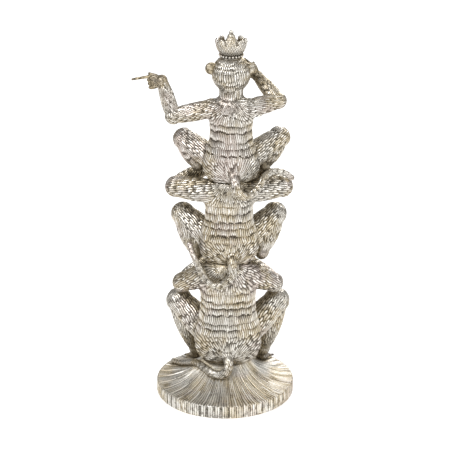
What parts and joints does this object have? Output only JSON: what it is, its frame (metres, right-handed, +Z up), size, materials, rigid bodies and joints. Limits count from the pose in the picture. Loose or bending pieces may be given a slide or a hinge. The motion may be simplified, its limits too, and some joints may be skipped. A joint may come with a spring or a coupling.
{
  "type": "monkey tower figurine",
  "caption": "Antique silver ornament of monkeys squatting on one another's shoulders above a round flared base, the topmost crowned and pointing.",
  "frame": {"origin": "centre of the base's round felt-covered underside, on the plane the ornament stands on", "axes": "+Z up the tower, +Y the way the monkeys face, +X to their right; the picture looks along +Y at their backs"},
  "size_m": [0.1613, 0.14, 0.3793],
  "materials": {
    "silver": "antique silver leaf over cast polyresin, brown-black patina in the carving",
    "steel": "plain zinc-plated steel, hidden inside the castings",
    "felt": "black felt"
  },
  "bodies": {
    "root": {"base": "silver", "felt_pad": "felt", "tie_rod": "steel", "tie_nut": "steel", "tie_washer": "steel", "lower_torso": "silver", "lower_head": "silver", "lower_left_arm": "silver", "lower_right_arm": "silver", "lower_left_leg": "silver", "lower_right_leg": "silver", "lower_tail": "silver", "lower_dowels": "steel", "middle_torso": "silver", "middle_head": "silver", "middle_left_arm": "silver", "middle_right_arm": "silver", "middle_left_leg": "silver", "middle_right_leg": "silver", "middle_tail": "silver", "middle_dowels": "steel", "top_torso": "silver", "top_head": "silver", "top_left_arm": "silver", "top_right_arm": "silver", "top_left_leg": "silver", "top_right_leg": "silver", "top_tail": "silver", "top_dowels": "steel", "crown": "silver", "crown_dowel": "steel"}
  },
  "joints": []
}
